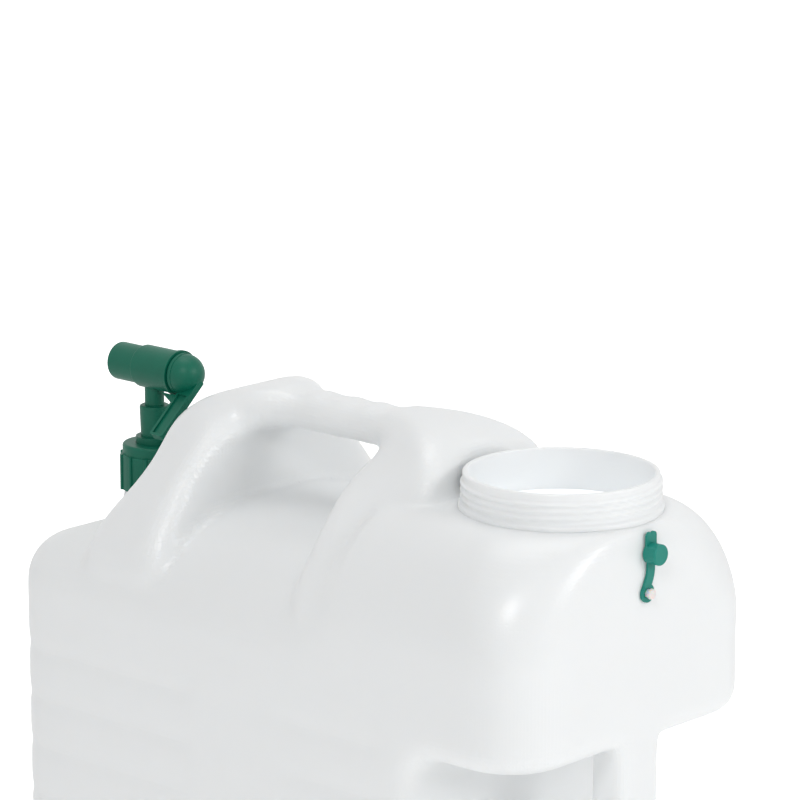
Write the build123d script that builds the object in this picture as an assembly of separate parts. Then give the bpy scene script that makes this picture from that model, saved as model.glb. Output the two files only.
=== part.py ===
"""Water carboy with a wide threaded mouth, an arched carrying handle and a screw-on spigot.

The body is one blow-moulded shell, so every outside form is built twice, once at full size and once
drawn in by the wall, and the second is taken out of the first. X runs along the body with the mouth
at +X and the spigot at -X, Y across it, Z up. The origin is on the floor under the body's middle.
"""

import os
from functools import cache
from math import cos, pi, sin

from build123d import *

# Overall body
BODY_LENGTH = 420.0
BODY_WIDTH = 217.0
RIM_HEIGHT = 335.0
WALL = 2.4
PLAN_CORNER_R = 40.0
BASE_EDGE_R = 16.0

# Levels of the body, up from the floor
SHOULDER_Z = 225.0
DECK_Z = 255.0
SADDLE_Z = 285.0
TOWER_Z = 314.5
HANDLE_Z = 352.5

# Low deck that carries the spigot
DECK_EDGE_R = 29.0
DECK_END_X = -110.0

# Saddle between the handle's roots
SADDLE_END_X = 20.0
SADDLE_FLAT = 8.0
SADDLE_RISE = 32.0
SADDLE_RUN = 66.0

# Tower under the mouth
TOWER_X = 70.0
TOWER_STRAIGHT = 24.0
TOWER_CROWN = 2.0
TOWER_END_FULLNESS = 0.3
TOWER_SIDE_FULLNESS = 1.2
TOWER_STEPS = 6
TOWER_CORNER_MARGIN = 1.0

# Mouth
MOUTH_X = 147.0
NECK_R = 56.1
MOUTH_R = 53.0
NECK_COLLAR_R = 58.6
NECK_COLLAR_H = 4.5
LID_CLEAR_R = 61.0

# Handle
GRIP_WIDTH = 34.0
GRIP_DEPTH = 26.0
GRIP_SAG = 2.0
HOLE_X0 = -79.0
HOLE_X1 = 33.0
HOLE_CORNER_R = 11.0
ROOT_TOP_HALF_L = 53.0
ROOT_TOP_HALF_R = 60.0
ROOT_FLARE_L = 25.0
ROOT_FLARE_R = 17.0
FLARE_FULLNESS = 3.0
FLARE_TAPER = 0.9
ROOT_FOOT_INSET = 1.8
ROOT_FOOT_DROP = 2.0
ROOT_NECK_DROP = 6.0
ROOT_EDGE_R = 18.0
GRIP_EDGE_R = 11.5
LEFT_ROOT_X = -151.0
LEFT_ROOT_LEAN = 20.0
LEFT_ROOT_SPREAD = 16.0
RIGHT_ROOT_X = 101.0
RIGHT_ROOT_LEAN = 4.0
RIGHT_ROOT_SPREAD = 12.0
BEND_LEFT_X = -66.0
BEND_RIGHT_X = 36.0
ROOT_FULLNESS_L = 1.7
ROOT_FULLNESS_R = 1.8
BEND_TAPER_L = 0.7
BEND_TAPER_R = 0.9
BEND_SQUARENESS = 0.8
GRIP_SHIFT = 4.0
GRIP_RIBS = 4
LEG_RIBS = 5
BEND_RIBS = 3
LEG_LEAN_POWER = 1.5
GROOVE_PITCH = 22.0
GROOVE_COUNT = 4
GROOVE_X0 = -52.0
GROOVE_R = 15.0
GROOVE_DEPTH = 1.8
GROOVE_OVERRUN = 12.0

# Grip at the low end corner
END_GRIP_X = 128.0
END_GRIP_TOP_Z = 185.0
END_GRIP_FOOT_Z = 67.0
END_GRIP_INNER_R = 20.0
END_GRIP_LIP_R = 13.0
POST_LENGTH = 26.5
POST_WIDTH = 35.0
POST_CORNER_R = 6.0

# Ribbing and the level strip on the long sides
RIB_HEIGHT = 8.0
RIB_DEPTH = 1.2
RIB_PITCH = 31.0
RIB_TOP_Z = 186.0
RIB_COUNT = 5
RIB_RIGHT_X0 = 24.0
RIB_RIGHT_X1 = 108.0
RIB_LEFT_X = -45.0
STRIP_X0 = -36.0
STRIP_X1 = 17.0
STRIP_TOP_Z = 192.3
STRIP_FOOT_Z = 42.0
STRIP_CORNER_R = 8.0
STRIP_DEPTH = 0.8

# Spigot neck on the deck
SPIGOT_X = -185.7
SPIGOT_NECK_R = 17.2
SPIGOT_BORE_R = 13.5
SPIGOT_NECK_TOP_Z = 287.0
BOSS_R = 20.6
BOSS_TOP_Z = 266.0

# Spigot fits
FIT = 0.05
SLACK = 0.3
RING_D = 1.8
RING_SQUEEZE = 0.02

# Gasket, socket and nut on the spigot neck
GASKET_T = 2.0
SOCKET_FLANGE_T = 3.0
SOCKET_FLANGE_R = 16.6
SOCKET_COLLAR_R = 11.9
SOCKET_COLLAR_RISE = 4.3
SOCKET_FOOT_R = 8.75
SOCKET_TOP_R = 9.4
SOCKET_TAPER_H = 19.5
SOCKET_BORE_R = 4.0
SOCKET_EDGE_R = 1.2
NUT_SHOULDER_R = 20.3
NUT_SKIRT_R = 21.3
NUT_RIB_R = 22.5
NUT_RIB_W = 2.6
NUT_RIB_COUNT = 12
NUT_TOP_T = 4.0
NUT_SHOULDER_H = 6.5
NUT_HEIGHT = 28.8
NUT_EDGE_R = 1.6

# Tee barrel with its stem and spout
STEM_R = 6.05
STEM_BORE_R = 3.0
STEM_DEPTH = 17.8
BARREL_Z = 343.3
SPOUT_END_X = -216.0
SPOUT_R = 11.8
SPOUT_BORE_R = 9.0
BARREL_X0 = -194.0
BARREL_X1 = -162.0
BARREL_R = 13.25
BARREL_LIP = 0.9
BARREL_LIP_L = 2.2
CHAMBER_R = 10.2
CHAMBER_X0 = -195.0
BARREL_EDGE_R = 1.0

# Plug with its dome and lever
PLUG_END_GAP = 0.4
PLUG_FLANGE_R = 12.9
PLUG_FLANGE_T = 2.4
PLUG_GAP = 1.0
PLUG_BORE_R = 6.4
PLUG_BORE_L = 17.0
PORT_R = 3.0
RING_X0 = -176.0
RING_X1 = -168.0
DOME_R = 12.6
LEVER_REACH = 45.0
LEVER_ANGLE = 48.0
LEVER_X0 = -157.6
LEVER_X1 = -146.6
LEVER_FACE_Y = 2.4
LEVER_T = 4.6
LEVER_BORDER = 1.8
LEVER_RECESS = 1.2
LEVER_RECESS_TOP = 13.5
LEVER_EDGE_R = 2.0
GUSSET_L = 12.0
GUSSET_H = 6.0
GUSSET_T = 1.8
GUSSET_CLEARANCE = 0.5

# Vent, cap, strap and peg on the end face
VENT_Y = 2.5
VENT_Z = 298.0
VENT_FACE_GAP = 0.1
NOZZLE_R = 3.1
NOZZLE_BORE_R = 1.7
NOZZLE_CLIP = 1.3
NOZZLE_CLIP_T = 2.0
NOZZLE_REACH = 6.2
CAP_R = 6.1
CAP_L = 7.2
CAP_EDGE_R = 1.0
STRAP_T = 1.5
STRAP_W = 6.0
TAB_W = 8.4
TAB_TOP_Z = 310.4
TAB_NOTCH = 1.6
STRAP_BEND_Z = 284.0
STRAP_BEND_Y = 1.6
PEG_Y = -0.2
PEG_Z = 275.3
PEG_R = 2.5
PEG_HEAD_R = 3.1
PEG_HEAD_T = 2.0
PEG_NECK_L = 3.4
PEG_CLIP = 1.2
PEG_CLIP_T = 2.0
STRAP_RING_R = 5.4
STRAP_RING_SLACK = 0.25

HALF_W = BODY_WIDTH / 2
HALF_L = BODY_LENGTH / 2


def block(x0, x1, y0, y1, z0, z1):
    """A plain box between two corners."""
    centre = ((x0 + x1) / 2, (y0 + y1) / 2, (z0 + z1) / 2)
    return Pos(*centre) * Box(x1 - x0, y1 - y0, z1 - z0)


def along_x(radius, x0, x1, y=0.0, z=0.0):
    """A round bar that runs along X."""
    return Pos((x0 + x1) / 2, y, z) * Rot(0, 90, 0) * Cylinder(radius, x1 - x0)


def along_z(radius, z0, z1, x=0.0, y=0.0):
    """A round bar that stands on end."""
    return Pos(x, y, (z0 + z1) / 2) * Cylinder(radius, z1 - z0)


def plan(z, inset):
    """The body's plan at one level, a rectangle with round corners."""
    outline = RectangleRounded(BODY_LENGTH - 2 * inset, BODY_WIDTH - 2 * inset, PLAN_CORNER_R - inset)
    return Pos(0, 0, z) * outline


def lower_block(inset):
    """The straight lower body, up to the shoulder."""
    solid = extrude(plan(inset, inset), SHOULDER_Z - inset)
    foot = solid.edges().group_by(Axis.Z)[0]
    return fillet(foot, BASE_EDGE_R - inset)


def deck(inset):
    """The low deck at the spigot end, with its round top edge."""
    depth = DECK_EDGE_R + 20.0
    solid = extrude(plan(DECK_Z - inset, inset), -depth)
    solid = fillet(solid.edges().group_by(Axis.Z)[-1], DECK_EDGE_R - inset)
    return solid & block(-BODY_LENGTH, DECK_END_X, -BODY_WIDTH, BODY_WIDTH, 0, RIM_HEIGHT)


def saddle_face(x, inset):
    """Cross section between the handle's roots: upright flanks that roll over into a low ridge."""
    half = HALF_W - inset
    top = SADDLE_Z - inset
    flank = SHOULDER_Z + SADDLE_RISE
    run = SADDLE_FLAT + SADDLE_RUN
    lines = [
        Line((x, -half, SHOULDER_Z), (x, half, SHOULDER_Z)),
        Bezier((x, half, SHOULDER_Z), (x, half, flank), (x, run, top), (x, SADDLE_FLAT, top)),
        Line((x, SADDLE_FLAT, top), (x, -SADDLE_FLAT, top)),
        Bezier((x, -SADDLE_FLAT, top), (x, -run, top), (x, -half, flank), (x, -half, SHOULDER_Z)),
    ]
    return Face(Wire(lines))


def tower_face(z, half, end, corner, start):
    """One level of the tower: a straight left end and two round corners at the right."""
    lines = [
        Line((start, -half, z), (end - corner, -half, z)),
        CenterArc((end - corner, -half + corner, z), corner, -90, 90),
        Line((end, -half + corner, z), (end, half - corner, z)),
        CenterArc((end - corner, half - corner, z), corner, 0, 90),
        Line((end - corner, half, z), (start, half, z)),
        Line((start, half, z), (start, -half, z)),
    ]
    return Face(Wire(lines))


def tower(inset):
    """The tall end under the mouth: its plan draws in to a round top that follows the neck."""
    start = TOWER_X - 40.0
    top = TOWER_Z - inset
    knee = SHOULDER_Z + TOWER_STRAIGHT
    crown = NECK_R + TOWER_CROWN
    levels = [
        tower_face(z, HALF_W - inset, HALF_L - inset, PLAN_CORNER_R - inset, start)
        for z in (SHOULDER_Z, (SHOULDER_Z + knee) / 2)
    ]
    for k in range(TOWER_STEPS + 1):
        turn = pi / 2 * k / TOWER_STEPS
        z = knee + (top - knee) * sin(turn)
        half = crown + (HALF_W - crown) * max(cos(turn), 0.0) ** TOWER_SIDE_FULLNESS - inset
        reach = (HALF_L - MOUTH_X - crown) * max(cos(turn), 0.0) ** TOWER_END_FULLNESS
        end = MOUTH_X + crown + reach - inset
        corner = PLAN_CORNER_R + (crown - TOWER_CORNER_MARGIN - PLAN_CORNER_R) * sin(turn) - inset
        levels.append(tower_face(z, half, end, corner, start))
    return loft(levels) & block(TOWER_X, BODY_LENGTH, -BODY_WIDTH, BODY_WIDTH, 0, RIM_HEIGHT)


def root_half(rise, top_half, fullness):
    """Half width of a handle root, from full width at its foot to top_half under the handle."""
    foot_half = HALF_W - ROOT_FOOT_INSET
    return top_half + (foot_half - top_half) * (1 + cos(pi * rise**fullness)) / 2


def rib_face(outer, inner, halves, corner, inset):
    """One rib of the handle: a tapered section with round corners, from its outer to its inner point."""
    outer = Vector(outer[0], 0, outer[1])
    inner = Vector(inner[0], 0, inner[1])
    across = (inner - outer).normalized()
    reach = (inner - outer).length / 2 - inset
    plane = Plane(origin=(outer + inner) * 0.5, x_dir=across, z_dir=Vector(-across.Z, 0, across.X))
    outer_half = halves[0] - inset
    inner_half = halves[1] - inset
    points = [(-reach, -outer_half), (reach, -inner_half), (reach, inner_half), (-reach, outer_half)]
    section = Face(Wire(Polyline(*points, close=True)))
    return plane * fillet(section.vertices(), corner - inset)


def leg_ribs(feet, tops, half, flare, fullness):
    """Ribs of one upright leg, each from its outer to its inner point, from the foot up."""
    ribs = []
    for k in range(LEG_RIBS):
        rise = k / (LEG_RIBS - 1)
        z = leg_foot_z() + (leg_top_z() - leg_foot_z()) * rise
        outer_x = feet[0] + (tops[0] - feet[0]) * rise**LEG_LEAN_POWER
        inner_x = tops[1] + (feet[1] - tops[1]) * (1 - rise) ** 2
        corner = ROOT_EDGE_R - (ROOT_EDGE_R - GRIP_EDGE_R) * rise
        halves = (root_half(rise, half, fullness), root_half(rise, half + flare, FLARE_FULLNESS))
        ribs.append(((outer_x, z), (inner_x, z), halves, corner))
    return ribs


def bend_ribs(tops, bend_x, half, flare, taper, squareness):
    """Ribs of one bend, from just above the leg round to the top of the handle."""
    under = HANDLE_Z - GRIP_DEPTH
    grip_half = GRIP_WIDTH / 2
    ribs = []
    for k in range(1, BEND_RIBS + 1):
        turn = pi / 2 * k / BEND_RIBS
        out = max(cos(turn), 0.0) ** squareness
        up = sin(turn) ** squareness
        outer = (bend_x + (tops[0] - bend_x) * out, leg_top_z() + (HANDLE_Z - leg_top_z()) * up)
        turn_in = HOLE_CORNER_R if bend_x > tops[0] else -HOLE_CORNER_R
        inner = (tops[1] + turn_in * (1 - cos(turn)), under - HOLE_CORNER_R * (1 - sin(turn)))
        outer_half = grip_half + (half - grip_half) * (1 - taper * k / BEND_RIBS)
        inner_half = grip_half + (half + flare - grip_half) * (1 - FLARE_TAPER * k / BEND_RIBS)
        ribs.append((outer, inner, (outer_half, inner_half), GRIP_EDGE_R))
    return ribs


def leg_foot_z():
    """Level at which the handle's roots start, just inside the lower body."""
    return SHOULDER_Z - ROOT_FOOT_DROP


def leg_top_z():
    """Level at which the legs start to bend over into the grip."""
    return HANDLE_Z - GRIP_DEPTH - HOLE_CORNER_R - ROOT_NECK_DROP


def handle(inset):
    """The arched handle with both of its spreading roots, one loft from foot to foot."""
    left_feet = (LEFT_ROOT_X, HOLE_X0 + LEFT_ROOT_SPREAD)
    left_tops = (LEFT_ROOT_X + LEFT_ROOT_LEAN, HOLE_X0)
    right_feet = (RIGHT_ROOT_X, HOLE_X1 - RIGHT_ROOT_SPREAD)
    right_tops = (RIGHT_ROOT_X - RIGHT_ROOT_LEAN, HOLE_X1)
    ribs = leg_ribs(left_feet, left_tops, ROOT_TOP_HALF_L, ROOT_FLARE_L, ROOT_FULLNESS_L)
    ribs += bend_ribs(left_tops, BEND_LEFT_X, ROOT_TOP_HALF_L, ROOT_FLARE_L, BEND_TAPER_L, 1.0)
    for k in range(1, GRIP_RIBS + 1):
        along = k / (GRIP_RIBS + 1)
        x = BEND_LEFT_X + (BEND_RIGHT_X - BEND_LEFT_X) * along - GRIP_SHIFT
        sag = GRIP_SAG * sin(pi * along)
        top = (x, HANDLE_Z - sag)
        under = (x, HANDLE_Z - GRIP_DEPTH + sag / 2)
        ribs.append((top, under, (GRIP_WIDTH / 2, GRIP_WIDTH / 2), GRIP_EDGE_R))
    wide = (ROOT_TOP_HALF_R, ROOT_FLARE_R)
    ribs += reversed(bend_ribs(right_tops, BEND_RIGHT_X, *wide, BEND_TAPER_R, BEND_SQUARENESS))
    ribs += reversed(leg_ribs(right_feet, right_tops, *wide, ROOT_FULLNESS_R))
    return loft([rib_face(*rib, inset) for rib in ribs])


def finger_grooves(inset):
    """Shallow scallops across the top and the underside of the grip."""
    reach = GROOVE_R - GROOVE_DEPTH
    length = GRIP_WIDTH + GROOVE_OVERRUN + 2 * inset
    cutters = []
    for k in range(GROOVE_COUNT):
        x = GROOVE_X0 + GROOVE_PITCH * k
        for z in (HANDLE_Z - GRIP_SAG + reach, HANDLE_Z - GRIP_DEPTH - reach):
            round_bar = Pos(x, 0, z) * Rot(90, 0, 0) * Cylinder(GROOVE_R + inset, length)
            cutters.append(round_bar)
    return cutters


def end_grip_recess(inset):
    """The hollow under the tower, open to both sides and the end."""
    z0 = END_GRIP_FOOT_Z - inset
    z1 = END_GRIP_TOP_Z + inset
    solid = block(END_GRIP_X - inset, HALF_L + 60.0, -BODY_WIDTH, BODY_WIDTH, z0, z1)
    inner = solid.edges().filter_by(Axis.Y).group_by(Axis.X)[0]
    return fillet(inner, END_GRIP_INNER_R + inset)


def end_post(inset):
    """The upright hand grip that joins the tower to the foot across the hollow."""
    length = POST_LENGTH - 2 * inset
    outline = RectangleRounded(length, POST_WIDTH - 2 * inset, POST_CORNER_R - inset)
    z0 = END_GRIP_FOOT_Z - 12.0
    z1 = END_GRIP_TOP_Z + 22.0
    return Pos(HALF_L - 0.4 - POST_LENGTH / 2, 0, z0) * extrude(outline, z1 - z0)


def rib_grooves(inset):
    """Level grooves: capsules on the right of both sides, and bands round the spigot end."""
    skin = extrude(plan(0, inset - 5.0), RIM_HEIGHT) - extrude(plan(0, inset + RIB_DEPTH), RIM_HEIGHT)
    height = RIB_HEIGHT + 2 * inset
    cutters = []
    for k in range(RIB_COUNT):
        z = RIB_TOP_Z - RIB_PITCH * k
        for x0, x1 in ((RIB_RIGHT_X0, RIB_RIGHT_X1), (-HALF_L - 60.0, RIB_LEFT_X)):
            outline = SlotOverall(x1 - x0 + 2 * inset, height)
            slot = Pos((x0 + x1) / 2, 0, z) * Rot(90, 0, 0) * extrude(outline, BODY_WIDTH, both=True)
            cutters.append(skin & slot)
    return cutters


def level_strips(inset):
    """The plain upright strip in the middle of each long side, through which the level shows."""
    width = STRIP_X1 - STRIP_X0 + 2 * inset
    height = STRIP_TOP_Z - STRIP_FOOT_Z + 2 * inset
    outline = RectangleRounded(width, height, STRIP_CORNER_R + inset)
    centre_x = (STRIP_X0 + STRIP_X1) / 2
    centre_z = (STRIP_TOP_Z + STRIP_FOOT_Z) / 2
    cutters = []
    for side in (-1, 1):
        y = side * (HALF_W - inset - STRIP_DEPTH + 5.0)
        cutters.append(Pos(centre_x, y, centre_z) * Rot(90, 0, 0) * extrude(outline, 5.0, both=True))
    return cutters


def body_form(inset):
    """The body without its necks, drawn in from the outside by inset."""
    ridge = extrude(saddle_face(DECK_END_X, inset), SADDLE_END_X - DECK_END_X, dir=(1, 0, 0))
    tower_end = tower(inset)
    shoulder = loft([saddle_face(SADDLE_END_X, inset), tower_end.faces().sort_by(Axis.X)[0]], ruled=True)
    solid = lower_block(inset) + deck(inset) + ridge + shoulder + tower_end + handle(inset)
    solid -= finger_grooves(inset)
    solid -= end_grip_recess(inset)
    lip = [e for e in solid.edges() if on_recess_rim(e, inset)]
    solid = fillet(lip, END_GRIP_LIP_R - inset)
    solid += end_post(inset)
    solid -= rib_grooves(inset)
    solid -= level_strips(inset)
    return solid


def on_recess_rim(edge, inset):
    """True for the edges where the end hollow breaks out through the body's sides and end."""
    box = edge.bounding_box()
    right = box.min.X > END_GRIP_X - inset - 0.1
    level = box.min.Z > END_GRIP_FOOT_Z - inset - 0.1 and box.max.Z < END_GRIP_TOP_Z + inset + 0.1
    one_side = box.min.Y > 0 or box.max.Y < 0
    end_line = box.min.X > HALF_L - inset - 0.1
    outside = max(abs(box.min.Y), abs(box.max.Y)) > HALF_W - inset - 0.1
    return right and level and ((one_side and outside) or end_line)


def neck_stack():
    """The levels of what is clamped on the spigot neck, from the neck's top up."""
    flange_z = SPIGOT_NECK_TOP_Z + GASKET_T
    clamp_z = flange_z + SOCKET_FLANGE_T
    nut_top_z = clamp_z + NUT_TOP_T
    collar_z = nut_top_z + SOCKET_COLLAR_RISE
    return flange_z, clamp_z, nut_top_z, collar_z


def spun_z(points, x=0.0, y=0.0):
    """A body turned about an upright axis from (radius, height) points."""
    outline = Polyline([(r, 0, z) for r, z in points], close=True)
    return Pos(x, y, 0) * revolve(Face(Wire(outline)), Axis.Z)


def seal_ring(bore_r):
    """A square-cut rubber ring that seals against a bore of this radius."""
    outer_r = bore_r - RING_SQUEEZE
    return Cylinder(outer_r, RING_D) - Cylinder(outer_r - RING_D, RING_D)


def ring_groove(bore_r):
    """The square groove that holds a seal ring, as the ring of stuff to cut away."""
    floor_r = bore_r - RING_SQUEEZE * 2 - RING_D
    return Cylinder(bore_r + 1.0, RING_D + SLACK) - Cylinder(floor_r, RING_D + SLACK)


@cache
def shell():
    """The blow-moulded shell: outer form, less the cavity, with both necks and the vent hole."""
    seat_z = TOWER_Z + NECK_COLLAR_H
    outer = body_form(0.0) - along_z(LID_CLEAR_R, seat_z, RIM_HEIGHT + 20.0, MOUTH_X)
    outer += along_z(NECK_R, TOWER_Z - 8.0, RIM_HEIGHT, MOUTH_X)
    outer += along_z(NECK_COLLAR_R, TOWER_Z - 8.0, seat_z, MOUTH_X)
    outer += along_z(BOSS_R, SHOULDER_Z, BOSS_TOP_Z, SPIGOT_X)
    outer += along_z(SPIGOT_NECK_R, DECK_Z, SPIGOT_NECK_TOP_Z, SPIGOT_X)
    lid_room = along_z(LID_CLEAR_R + WALL, seat_z - WALL, RIM_HEIGHT + 20.0, MOUTH_X)
    cavity = body_form(WALL) - lid_room
    cavity += along_z(MOUTH_R, TOWER_Z - 12.0, RIM_HEIGHT + 1.0, MOUTH_X)
    cavity += along_z(BOSS_R - WALL, SHOULDER_Z, BOSS_TOP_Z - WALL, SPIGOT_X)
    cavity += along_z(SPIGOT_BORE_R, DECK_Z, SPIGOT_NECK_TOP_Z + 1.0, SPIGOT_X)
    cavity += along_x(NOZZLE_R, HALF_L - 20.0, HALF_L + 1.0, VENT_Y, VENT_Z)
    cavity += along_x(PEG_R, HALF_L - 20.0, HALF_L + 1.0, PEG_Y, PEG_Z)
    return outer - cavity


def tank():
    """The straight lower part of the shell, up to the shoulder line."""
    return shell() & block(-BODY_LENGTH, BODY_LENGTH, -BODY_WIDTH, BODY_WIDTH, -1.0, SHOULDER_Z)


def tank_top():
    """The shell above the shoulder line: deck, handle, tower and both necks."""
    return shell() & block(-BODY_LENGTH, BODY_LENGTH, -BODY_WIDTH, BODY_WIDTH, SHOULDER_Z, BODY_LENGTH)


def spigot_gasket():
    """Flat washer between the spigot neck and the socket's flange."""
    ring = along_z(SOCKET_FLANGE_R, SPIGOT_NECK_TOP_Z, SPIGOT_NECK_TOP_Z + GASKET_T, SPIGOT_X)
    return ring - along_z(SPIGOT_BORE_R, SPIGOT_NECK_TOP_Z - 1.0, RIM_HEIGHT, SPIGOT_X)


def spigot_socket():
    """Flanged socket: the nut holds its flange down, and its tapered cup takes the stem."""
    flange_z, clamp_z, _, collar_z = neck_stack()
    top_z = collar_z + SOCKET_TAPER_H
    body = spun_z(
        [
            (0, flange_z),
            (SOCKET_FLANGE_R, flange_z),
            (SOCKET_FLANGE_R, clamp_z),
            (SOCKET_COLLAR_R, clamp_z),
            (SOCKET_COLLAR_R, collar_z),
            (SOCKET_FOOT_R, collar_z),
            (SOCKET_TOP_R, top_z),
            (0, top_z),
        ],
        SPIGOT_X,
    )
    body = fillet(body.edges().group_by(Axis.Z)[-1], SOCKET_EDGE_R)
    body -= along_z(STEM_R + FIT, top_z - STEM_DEPTH - SLACK, top_z + 1.0, SPIGOT_X)
    return body - along_z(SOCKET_BORE_R, flange_z - 1.0, top_z, SPIGOT_X)


def spigot_nut():
    """Ribbed union nut: its lid presses on the socket's flange, its skirt screws on the neck."""
    _, clamp_z, top_z, _ = neck_stack()
    foot_z = top_z - NUT_HEIGHT
    skirt_z = top_z - NUT_SHOULDER_H
    nut = along_z(NUT_SHOULDER_R, foot_z, top_z, SPIGOT_X)
    nut = fillet(nut.edges().group_by(Axis.Z)[-1], NUT_EDGE_R)
    skirt = along_z(NUT_SKIRT_R, foot_z, skirt_z, SPIGOT_X)
    skirt = fillet(skirt.edges().group_by(Axis.Z)[-1], (NUT_SKIRT_R - NUT_SHOULDER_R) * 0.8)
    nut += skirt
    rib = block(NUT_SHOULDER_R - 2.0, NUT_RIB_R, -NUT_RIB_W / 2, NUT_RIB_W / 2, foot_z, skirt_z)
    rib = fillet(rib.edges().filter_by(Axis.Z).group_by(Axis.X)[-1], NUT_RIB_W * 0.35)
    for k in range(NUT_RIB_COUNT):
        nut += Pos(SPIGOT_X, 0, 0) * Rot(0, 0, 360.0 / NUT_RIB_COUNT * k) * rib
    nut -= along_z(SPIGOT_NECK_R + SLACK, foot_z - 1.0, clamp_z, SPIGOT_X)
    return nut - along_z(SOCKET_COLLAR_R + SLACK, foot_z, top_z + 1.0, SPIGOT_X)


def stem_foot_z():
    """Level of the stem's lower end inside the socket."""
    return neck_stack()[3] + SOCKET_TAPER_H - STEM_DEPTH


def stem_ring_z():
    """Level of the seal ring on the stem."""
    return stem_foot_z() + RING_D * 3


def spigot_barrel():
    """Tee barrel: an upright stem, a lying valve barrel and a plain spout at the far end."""
    foot_z = stem_foot_z()
    tee = along_x(BARREL_R, BARREL_X0, BARREL_X1, z=BARREL_Z)
    tee = fillet(tee.edges().group_by(Axis.X)[0], BARREL_EDGE_R)
    tee += along_x(BARREL_R + BARREL_LIP, BARREL_X1 - BARREL_LIP_L, BARREL_X1, z=BARREL_Z)
    spout = along_x(SPOUT_R, SPOUT_END_X, BARREL_X0 + 5.0, z=BARREL_Z)
    spout = fillet(spout.edges().group_by(Axis.X)[0], BARREL_EDGE_R)
    tee += spout
    tee += along_z(STEM_R, foot_z, BARREL_Z, SPIGOT_X)
    tee -= along_x(SPOUT_BORE_R, SPOUT_END_X - 1.0, BARREL_X1, z=BARREL_Z)
    tee -= along_x(CHAMBER_R, CHAMBER_X0, BARREL_X1 + 1.0, z=BARREL_Z)
    tee -= along_z(STEM_BORE_R, foot_z - 1.0, BARREL_Z, SPIGOT_X)
    return tee - Pos(SPIGOT_X, 0, stem_ring_z()) * ring_groove(STEM_R)


def stem_seal_ring():
    """Rubber ring that seals the stem in its socket."""
    return Pos(SPIGOT_X, 0, stem_ring_z()) * seal_ring(STEM_R)


def lever():
    """Paddle lever, drawn hanging straight down from the valve axis at Z = 0."""
    foot = -LEVER_REACH
    face = LEVER_FACE_Y
    plate = block(LEVER_X0, LEVER_X1, face, face + LEVER_T, foot, 0)
    ends = plate.edges().filter_by(Axis.Y).group_by(Axis.Z)[0]
    plate = fillet(ends, LEVER_EDGE_R)
    pocket_x0 = LEVER_X0 + LEVER_BORDER
    pocket_x1 = LEVER_X1 - LEVER_BORDER
    pocket_foot = foot + LEVER_BORDER
    pocket = block(pocket_x0, pocket_x1, face - 1.0, face + LEVER_RECESS, pocket_foot, -LEVER_RECESS_TOP)
    plate -= pocket
    near = BARREL_R + BARREL_LIP + GUSSET_CLEARANCE
    root = (LEVER_X0 + 1.0, -near)
    web = Polyline(root, (LEVER_X0 - GUSSET_L, -near), (root[0], -near - GUSSET_H), close=True)
    gusset = Plane.XZ * make_face(web)
    gusset = extrude(gusset, -GUSSET_T)
    return plate + Pos(0, face, 0) * gusset


def spigot_plug():
    """Rotary plug with its dome and lever, drawn shut: its side port looks to -Y."""
    x0 = CHAMBER_X0 + PLUG_END_GAP
    flange_x = BARREL_X1 + PLUG_GAP
    dome_x = flange_x + PLUG_FLANGE_T
    plug = along_x(CHAMBER_R - FIT, x0, flange_x + 1.0)
    plug += along_x(PLUG_FLANGE_R, flange_x, dome_x)
    dome = Pos(dome_x, 0, 0) * Sphere(DOME_R)
    plug += dome & block(dome_x - 1.0, dome_x + DOME_R, -DOME_R, DOME_R, -DOME_R, DOME_R)
    plug += Rot(-LEVER_ANGLE, 0, 0) * lever()
    plug -= along_x(PLUG_BORE_R, x0 - 1.0, x0 + PLUG_BORE_L)
    port = Pos(SPIGOT_X, -CHAMBER_R / 2, 0) * Rot(90, 0, 0) * Cylinder(PORT_R, CHAMBER_R + 1.0)
    plug -= port
    for x in (RING_X0, RING_X1):
        plug -= Pos(x, 0, 0) * Rot(0, 90, 0) * ring_groove(CHAMBER_R - FIT)
    return Pos(0, 0, BARREL_Z) * plug


def plug_seal_rings():
    """The two rubber rings on the plug."""
    rings = [Pos(x, 0, BARREL_Z) * Rot(0, 90, 0) * seal_ring(CHAMBER_R - FIT) for x in (RING_X0, RING_X1)]
    return Compound(children=rings)


def vent_nozzle():
    """Small white nozzle clipped in the vent hole."""
    inner_x = HALF_L - WALL
    tube = along_x(NOZZLE_R, inner_x - NOZZLE_CLIP_T, HALF_L + NOZZLE_REACH, VENT_Y, VENT_Z)
    tube += along_x(NOZZLE_R + NOZZLE_CLIP, inner_x - NOZZLE_CLIP_T, inner_x - 0.8, VENT_Y, VENT_Z)
    return tube - along_x(NOZZLE_BORE_R, HALF_L - 20.0, HALF_L + 20.0, VENT_Y, VENT_Z)


def strap_outline():
    """Outline of the strap on the end face: notched tab, cap root, bent strap and ring."""
    tab = Pos(VENT_Y, (TAB_TOP_Z + VENT_Z) / 2) * RectangleRounded(TAB_W, TAB_TOP_Z - VENT_Z, TAB_W * 0.3)
    tab -= Pos(VENT_Y, TAB_TOP_Z) * Rot(0, 0, 45) * Rectangle(TAB_NOTCH, TAB_NOTCH)
    points = [(VENT_Y, VENT_Z), (STRAP_BEND_Y, STRAP_BEND_Z), (PEG_Y - 1.2, PEG_Z + 2.0)]
    path = Spline(*points, tangents=[(0, -1), (-0.3, -1)])
    strap = trace(path, STRAP_W)
    shape = tab + strap + Pos(VENT_Y, VENT_Z) * Circle(CAP_R) + Pos(PEG_Y, PEG_Z) * Circle(STRAP_RING_R)
    return shape - Pos(PEG_Y, PEG_Z) * Circle(PEG_R + STRAP_RING_SLACK)


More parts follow.
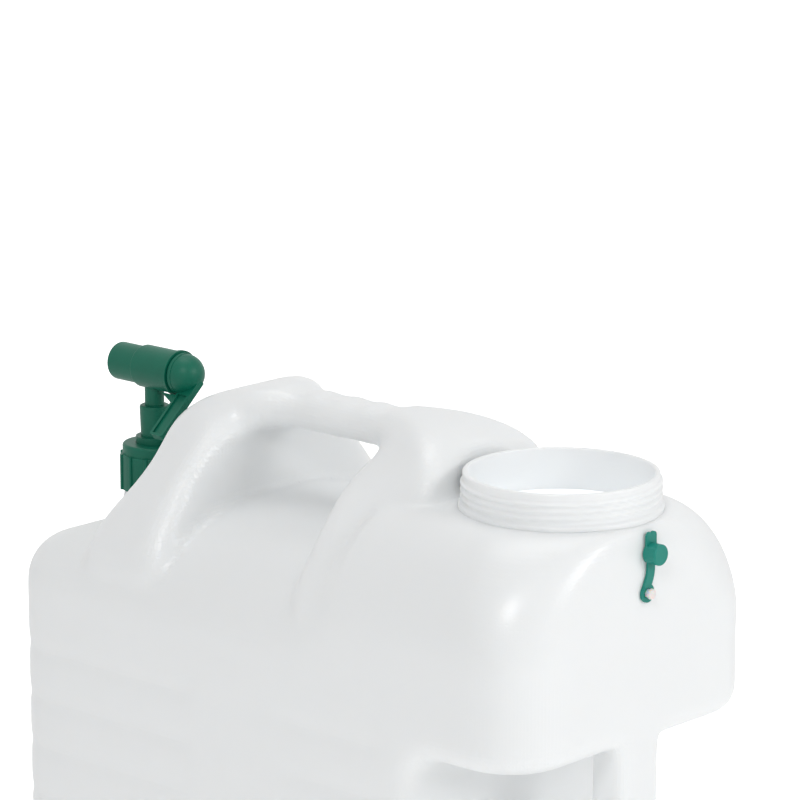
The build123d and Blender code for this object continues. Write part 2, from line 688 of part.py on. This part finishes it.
def vent_cap():
    """Vent cap with its tab, strap and ring in one moulding; the cup fits over the nozzle."""
    x0 = HALF_L + VENT_FACE_GAP
    flat = Plane(origin=(x0, 0, 0), x_dir=(0, 1, 0), z_dir=(1, 0, 0)) * strap_outline()
    strip = extrude(flat, STRAP_T)
    cup = along_x(CAP_R, x0, x0 + STRAP_T + CAP_L, VENT_Y, VENT_Z)
    cup = fillet(cup.edges().group_by(Axis.X)[-1], CAP_EDGE_R)
    bore_end = HALF_L + NOZZLE_REACH + SLACK
    return strip + cup - along_x(NOZZLE_R + FIT, x0 - 1.0, bore_end, VENT_Y, VENT_Z)


def strap_peg():
    """Round-headed peg clipped in the end face, on which the strap's ring hangs."""
    inner_x = HALF_L - WALL
    head_x = HALF_L + PEG_NECK_L
    peg = along_x(PEG_R, inner_x - PEG_CLIP_T, head_x + 0.5, PEG_Y, PEG_Z)
    head = along_x(PEG_HEAD_R, head_x, head_x + PEG_HEAD_T, PEG_Y, PEG_Z)
    peg += fillet(head.edges().group_by(Axis.X)[-1], PEG_HEAD_T * 0.6)
    return peg + along_x(PEG_R + PEG_CLIP, inner_x - PEG_CLIP_T, inner_x - 0.8, PEG_Y, PEG_Z)


PIECES = {
    "tank": tank,
    "tank_top": tank_top,
    "spigot_gasket": spigot_gasket,
    "spigot_socket": spigot_socket,
    "spigot_nut": spigot_nut,
    "spigot_barrel": spigot_barrel,
    "stem_seal_ring": stem_seal_ring,
    "spigot_plug": spigot_plug,
    "plug_seal_rings": plug_seal_rings,
    "vent_nozzle": vent_nozzle,
    "vent_cap": vent_cap,
    "strap_peg": strap_peg,
}

if __name__ == "__main__":
    os.makedirs("parts", exist_ok=True)
    for name, make in PIECES.items():
        export_step(make(), f"parts/{name}.step")
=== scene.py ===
import math

import bmesh
import bpy
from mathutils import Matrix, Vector


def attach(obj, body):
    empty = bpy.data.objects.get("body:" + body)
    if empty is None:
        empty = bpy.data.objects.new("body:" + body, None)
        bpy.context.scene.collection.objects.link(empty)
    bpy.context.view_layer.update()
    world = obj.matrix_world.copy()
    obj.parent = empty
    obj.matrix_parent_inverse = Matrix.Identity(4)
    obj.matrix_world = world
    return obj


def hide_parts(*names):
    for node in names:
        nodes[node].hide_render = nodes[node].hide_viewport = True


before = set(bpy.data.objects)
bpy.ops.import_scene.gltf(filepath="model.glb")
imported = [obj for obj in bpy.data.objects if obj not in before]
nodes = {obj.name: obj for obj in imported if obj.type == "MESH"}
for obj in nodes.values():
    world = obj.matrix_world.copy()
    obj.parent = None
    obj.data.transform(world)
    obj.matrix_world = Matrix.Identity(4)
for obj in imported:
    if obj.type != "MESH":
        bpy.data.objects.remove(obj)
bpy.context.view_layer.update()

# Places in the part's frame, in metres
MOUTH_X = 0.147
NECK_R = 0.0561
MOUTH_R = 0.053
RIM_Z = 0.335
TOWER_Z = 0.3145
SPIGOT_X = -0.1857
NECK_TOP_Z = 0.287
SPIGOT_BORE_R = 0.0135
SEAM_Z = 0.225
END_FACE_X = 0.2
VENT = (0.0025, 0.298, 0.0032)
PEG = (-0.0002, 0.2753, 0.0026)
SHELL = ("tank", "tank_top")

# The smooth skin over the moulded shell
ON_PLANE = 2e-5
WELD = 5e-5
SEAM_WELD = 1.2e-3
SMALL_PART = 500
OUTER_REACH = 0.2095
SKIN_VOXEL = 0.0028
SMOOTH_FACTOR = 0.5
SMOOTH_PASSES = 14

# The neck's screw thread
THREAD_TURNS = 3.4
THREAD_PITCH = 0.0040
THREAD_CREST = 0.0014
THREAD_HALF_W = 0.0011
THREAD_FIRST = 0.0172
THREAD_FADE = 8
NECK_STEPS = 288
NECK_ROW = 0.00045
COLLAR_R = 0.0026
COLLAR_TOP = 0.0034
COLLAR_H = 0.0016
LIP_R = 0.0009

# Light that the floor and the world give, and what the camera sees of them
FLOOR_GLOW = 0.26
FLOOR_GLOW_SEEN = 0.8
WORLD_GLOW = 0.46
WORLD_GLOW_SEEN = 1.0


def new_object(name, bm, smooth=True):
    mesh = bpy.data.meshes.new(name)
    bm.to_mesh(mesh)
    bm.free()
    obj = bpy.data.objects.new(name, mesh)
    bpy.context.scene.collection.objects.link(obj)
    if smooth:
        mesh.shade_smooth()
    return obj


def on_rim(c):
    """True for a face of the shell at a rim, a small hole's wall or the seam between its two solids."""
    if abs(c.z - SEAM_Z) < ON_PLANE:
        return True
    if abs(c.z - RIM_Z) < ON_PLANE and math.hypot(c.x - MOUTH_X, c.y) < NECK_R + 0.001:
        return True
    if abs(c.z - NECK_TOP_Z) < ON_PLANE and math.hypot(c.x - SPIGOT_X, c.y) < 0.018:
        return True
    return c.x > END_FACE_X and any(math.hypot(c.y - y, c.z - z) < r for y, z, r in (VENT, PEG))


def split_shell(names):
    """The CAD shell cut apart at its rims: its outer and its inner skin."""
    bm = bmesh.new()
    for name in names:
        bm.from_mesh(nodes[name].data)
    cut = [f for f in bm.faces if on_rim(f.calc_center_median())]
    bmesh.ops.delete(bm, geom=cut, context="FACES")
    seam = [v for v in bm.verts if abs(v.co.z - SEAM_Z) < ON_PLANE and v.is_boundary]
    bmesh.ops.remove_doubles(bm, verts=seam, dist=SEAM_WELD)
    bmesh.ops.remove_doubles(bm, verts=bm.verts, dist=WELD)
    loose = [v for v in bm.verts if not v.link_faces]
    bmesh.ops.delete(bm, geom=loose, context="VERTS")
    bm.verts.index_update()
    bm.verts.ensure_lookup_table()
    seen = [False] * len(bm.verts)
    parts = []
    for start in bm.verts:
        if seen[start.index]:
            continue
        stack, part = [start], []
        seen[start.index] = True
        while stack:
            v = stack.pop()
            part.append(v.index)
            for edge in v.link_edges:
                other = edge.other_vert(v)
                if not seen[other.index]:
                    seen[other.index] = True
                    stack.append(other)
        parts.append(part)
    parts = [p for p in parts if len(p) > SMALL_PART]
    skins = []
    for is_outer in (True, False):
        keep = set()
        for p in parts:
            reach = max(abs(bm.verts[i].co.x) for i in p)
            if (reach > OUTER_REACH) == is_outer:
                keep.update(p)
        copy = bm.copy()
        copy.verts.index_update()
        away = [v for v in copy.verts if v.index not in keep]
        bmesh.ops.delete(copy, geom=away, context="VERTS")
        skins.append(copy)
    bm.free()
    return skins


def baked(obj):
    """Apply the object's modifiers to its mesh."""
    dg = bpy.context.evaluated_depsgraph_get()
    mesh = bpy.data.meshes.new_from_object(obj.evaluated_get(dg))
    obj.modifiers.clear()
    obj.data = mesh


outer, inner = split_shell(SHELL)
bmesh.ops.holes_fill(outer, edges=[e for e in outer.edges if e.is_boundary], sides=0)
bmesh.ops.recalc_face_normals(outer, faces=outer.faces)
# The skin's own neck is pushed down flat, because the threaded neck takes its place
for v in outer.verts:
    if v.co.z > TOWER_Z and math.hypot(v.co.x - MOUTH_X, v.co.y) < NECK_R + 0.004:
        v.co.z = TOWER_Z
skin = new_object("canister_skin", outer)
remesh = skin.modifiers.new("remesh", "REMESH")
remesh.mode = "VOXEL"
remesh.voxel_size = SKIN_VOXEL
smooth = skin.modifiers.new("smooth", "SMOOTH")
smooth.factor = SMOOTH_FACTOR
smooth.iterations = SMOOTH_PASSES
baked(skin)


def open_mouth(obj, radius, foot):
    """Delete the faces inside a radius round the mouth's axis and above a foot height."""
    cut = bmesh.new()
    cut.from_mesh(obj.data)
    away = []
    for f in cut.faces:
        c = f.calc_center_median()
        if c.z > foot and math.hypot(c.x - MOUTH_X, c.y) < radius:
            away.append(f)
    bmesh.ops.delete(cut, geom=away, context="FACES")
    cut.to_mesh(obj.data)
    cut.free()


open_mouth(skin, NECK_R - 0.0012, 0.300)


def thread_bump(a, z):
    """Height of the screw thread over the neck at a turn angle and a height."""
    turn = a / (2 * math.pi)
    bump = 0.0
    for n in range(-1, 5):
        place = n + turn
        crest_z = RIM_Z - THREAD_FIRST + THREAD_PITCH * place
        t = abs(z - crest_z) / THREAD_HALF_W
        start_fade = min(1.0, max(0.0, place * THREAD_FADE))
        end_fade = min(1.0, max(0.0, (THREAD_TURNS - place) * THREAD_FADE))
        fade = start_fade * end_fade
        if t < 1.4:
            bump = max(bump, fade * (1 - min(1.0, max(0.0, (t - 0.3) / 1.1)) ** 1.5))
    return THREAD_CREST * bump


def neck_mesh():
    """The wide neck: a tube with a screw thread outside, a low collar at its foot and a soft rim."""
    zs = [TOWER_Z - 0.005, TOWER_Z + 0.0005, TOWER_Z + 0.0012]
    z = TOWER_Z + 0.0018
    while z < RIM_Z - 0.0008:
        zs.append(z)
        z += NECK_ROW
    lip = []
    for r, start in ((NECK_R - LIP_R, 0.0), (MOUTH_R + LIP_R, math.pi / 2)):
        for t in (0.0, 0.35, 0.7, 1.0):
            turn = start + t * math.pi / 2
            lip.append((r + LIP_R * math.cos(turn), RIM_Z - LIP_R + LIP_R * math.sin(turn)))
    bore = [(MOUTH_R, RIM_Z - 0.006), (MOUTH_R, RIM_Z - 0.014), (MOUTH_R, TOWER_Z - 0.004)]
    bm = bmesh.new()
    rows = []
    for k in range(NECK_STEPS):
        a = 2 * math.pi * k / NECK_STEPS
        profile = []
        for z in zs:
            collar = min(1.0, max(0.0, (TOWER_Z + COLLAR_TOP - z) / COLLAR_H))
            foot_r = NECK_R + COLLAR_R * (collar * collar * (3 - 2 * collar))
            profile.append((max(NECK_R + thread_bump(a, z), foot_r), z))
        points = profile + lip + bore
        rows.append([bm.verts.new((MOUTH_X + r * math.cos(a), r * math.sin(a), z)) for r, z in points])
    for k in range(NECK_STEPS):
        a, b = rows[k], rows[(k + 1) % NECK_STEPS]
        for i in range(len(a) - 1):
            bm.faces.new((a[i], b[i], b[i + 1], a[i + 1]))
    bmesh.ops.recalc_face_normals(bm, faces=bm.faces)
    return new_object("neck", bm)


neck = neck_mesh()
inside = new_object("canister_inside", inner)
open_mouth(inside, MOUTH_R + 0.0008, TOWER_Z - 0.002)
for obj in (skin, neck, inside):
    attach(obj, "canister")
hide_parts(*SHELL)


def mottle_group():
    """Node group: uneven colour and the normal of a fine bump, both from noise in object space."""
    group = bpy.data.node_groups.new("mottle", "ShaderNodeTree")
    face = group.interface
    for name in ("Dark", "Light"):
        face.new_socket(name, in_out="INPUT", socket_type="NodeSocketColor")
    for name in ("Scale", "Fine Scale", "Bump"):
        face.new_socket(name, in_out="INPUT", socket_type="NodeSocketFloat")
    face.new_socket("Colour", in_out="OUTPUT", socket_type="NodeSocketColor")
    face.new_socket("Normal", in_out="OUTPUT", socket_type="NodeSocketVector")
    ins = group.nodes.new("NodeGroupInput")
    outs = group.nodes.new("NodeGroupOutput")
    coord = group.nodes.new("ShaderNodeTexCoord")
    broad = group.nodes.new("ShaderNodeTexNoise")
    broad.inputs["Detail"].default_value = 4
    fine = group.nodes.new("ShaderNodeTexNoise")
    fine.inputs["Detail"].default_value = 3
    mix = group.nodes.new("ShaderNodeMix")
    mix.data_type = "RGBA"
    bumps = group.nodes.new("ShaderNodeBump")
    bumps.inputs["Distance"].default_value = 0.0002
    link = group.links.new
    for noise, scale in ((broad, "Scale"), (fine, "Fine Scale")):
        link(coord.outputs["Object"], noise.inputs["Vector"])
        link(ins.outputs[scale], noise.inputs["Scale"])
    link(broad.outputs["Fac"], mix.inputs[0])
    link(ins.outputs["Dark"], mix.inputs[6])
    link(ins.outputs["Light"], mix.inputs[7])
    link(fine.outputs["Fac"], bumps.inputs["Height"])
    link(ins.outputs["Bump"], bumps.inputs["Strength"])
    link(mix.outputs[2], outs.inputs["Colour"])
    link(bumps.outputs["Normal"], outs.inputs["Normal"])
    return group


MOTTLE = mottle_group()


def material(name, color, rough, **inputs):
    """A new material; further inputs are named with low lines for spaces."""
    mat = bpy.data.materials.new(name)
    mat.use_nodes = True
    bsdf = mat.node_tree.nodes["Principled BSDF"]
    bsdf.inputs["Base Color"].default_value = (*color, 1)
    bsdf.inputs["Roughness"].default_value = rough
    for key, value in inputs.items():
        bsdf.inputs[key.replace("_", " ")].default_value = value
    return mat


def mottled(mat, scale, low, high, bump):
    """Dress the material with the uneven colour and the fine bump."""
    tree = mat.node_tree
    bsdf = tree.nodes["Principled BSDF"]
    base = bsdf.inputs["Base Color"].default_value[:3]
    node = tree.nodes.new("ShaderNodeGroup")
    node.node_tree = MOTTLE
    node.inputs["Dark"].default_value = (*[c * low for c in base], 1)
    node.inputs["Light"].default_value = (*[min(1.0, c * high) for c in base], 1)
    node.inputs["Scale"].default_value = scale
    node.inputs["Fine Scale"].default_value = scale * 14
    node.inputs["Bump"].default_value = bump
    tree.links.new(node.outputs["Colour"], bsdf.inputs["Base Color"])
    tree.links.new(node.outputs["Normal"], bsdf.inputs["Normal"])
    return mat


def give(mat, *objs):
    for obj in objs:
        obj.data.materials.clear()
        obj.data.materials.append(mat)


white = material(
    "canister_plastic",
    (0.86, 0.875, 0.88),
    0.3,
    Subsurface_Weight=0.6,
    Subsurface_Scale=0.006,
    Subsurface_Radius=(1.0, 0.95, 0.9),
)
# painted light: the inside glows to stand in for light that comes through the thin wall from outside
inside_painted_glow = material(
    "canister_inside",
    (0.84, 0.85, 0.85),
    0.4,
    Emission_Strength=0.3,
    Emission_Color=(0.95, 0.97, 1.0, 1),
)
green = material("spigot_green", (0.0012, 0.128, 0.078), 0.42, Specular_IOR_Level=0.3)
teal = material("vent_teal", (0.008, 0.235, 0.185), 0.42, Specular_IOR_Level=0.35)
rubber = material("seal_rubber", (0.02, 0.02, 0.022), 0.7)
milky = material("vent_white", (0.80, 0.76, 0.76), 0.35, Subsurface_Weight=0.8, Subsurface_Scale=0.004)
give(mottled(white, 14.0, 0.985, 1.01, 0.05), skin, neck)
give(mottled(inside_painted_glow, 14.0, 0.97, 1.02, 0.05), inside)
spigot = [nodes[n] for n in ("spigot_socket", "spigot_nut", "spigot_barrel", "spigot_plug")]
give(mottled(green, 60.0, 0.85, 1.15, 0.12), *spigot)
give(mottled(teal, 90.0, 0.85, 1.12, 0.12), nodes["vent_cap"])
seals = [nodes[n] for n in ("spigot_gasket", "stem_seal_ring", "plug_seal_rings")]
give(mottled(rubber, 80.0, 0.8, 1.2, 0.2), *seals)
give(mottled(milky, 90.0, 0.95, 1.03, 0.08), nodes["vent_nozzle"], nodes["strap_peg"])

# Floor, light and camera
bm = bmesh.new()
bmesh.ops.create_grid(bm, x_segments=1, y_segments=1, size=12.0)
floor = new_object("floor", bm, False)
ground = material("floor", (0.92, 0.92, 0.92), 0.9, Emission_Color=(1, 1, 1, 1))
tree = ground.node_tree
path = tree.nodes.new("ShaderNodeLightPath")
glow = tree.nodes.new("ShaderNodeMapRange")
glow.inputs["To Min"].default_value = FLOOR_GLOW
glow.inputs["To Max"].default_value = FLOOR_GLOW_SEEN
tree.links.new(path.outputs["Is Camera Ray"], glow.inputs["Value"])
tree.links.new(glow.outputs["Result"], tree.nodes["Principled BSDF"].inputs["Emission Strength"])
give(ground, floor)

world = bpy.data.worlds.new("world")
bpy.context.scene.world = world
world.use_nodes = True
tree = world.node_tree
back = tree.nodes["Background"]
back.inputs["Color"].default_value = (1, 1, 1, 1)
path = tree.nodes.new("ShaderNodeLightPath")
most = tree.nodes.new("ShaderNodeMath")
most.operation = "MAXIMUM"
tree.links.new(path.outputs["Is Camera Ray"], most.inputs[0])
tree.links.new(path.outputs["Is Glossy Ray"], most.inputs[1])
glow = tree.nodes.new("ShaderNodeMapRange")
glow.inputs["To Min"].default_value = WORLD_GLOW
glow.inputs["To Max"].default_value = WORLD_GLOW_SEEN
tree.links.new(most.outputs[0], glow.inputs["Value"])
tree.links.new(glow.outputs["Result"], back.inputs["Strength"])


def area(name, at, aim, size, watts):
    """A round area light that looks at a point."""
    data = bpy.data.lights.new(name, "AREA")
    data.shape = "DISK"
    data.size = size
    data.energy = watts
    obj = bpy.data.objects.new(name, data)
    bpy.context.scene.collection.objects.link(obj)
    obj.location = at
    obj.rotation_mode = "QUATERNION"
    obj.rotation_quaternion = (Vector(aim) - Vector(at)).to_track_quat("-Z", "Y")


area("key", (1.2, -1.9, 1.9), (0.0, 0, 0.25), 0.7, 14)
area("side", (2.2, 0.6, 1.2), (0.1, 0, 0.25), 0.9, 13)
area("top", (-0.3, 0.2, 2.4), (0.0, 0, 0.3), 1.6, 11)

TARGET = Vector((0.02221, 0, 0.3558))
cam = bpy.data.objects.new("camera", bpy.data.cameras.new("camera"))
bpy.context.scene.collection.objects.link(cam)
bpy.context.scene.camera = cam
cam.location = (1.6018, -1.6983, 0.9007)
cam.rotation_mode = "QUATERNION"
cam.rotation_quaternion = (TARGET - cam.location).to_track_quat("-Z", "Y")
cam.data.lens = 183.4
cam.data.sensor_width = 36.0
cam.data.clip_start = 0.1
cam.data.clip_end = 30
bpy.context.scene.view_settings.view_transform = "Standard"
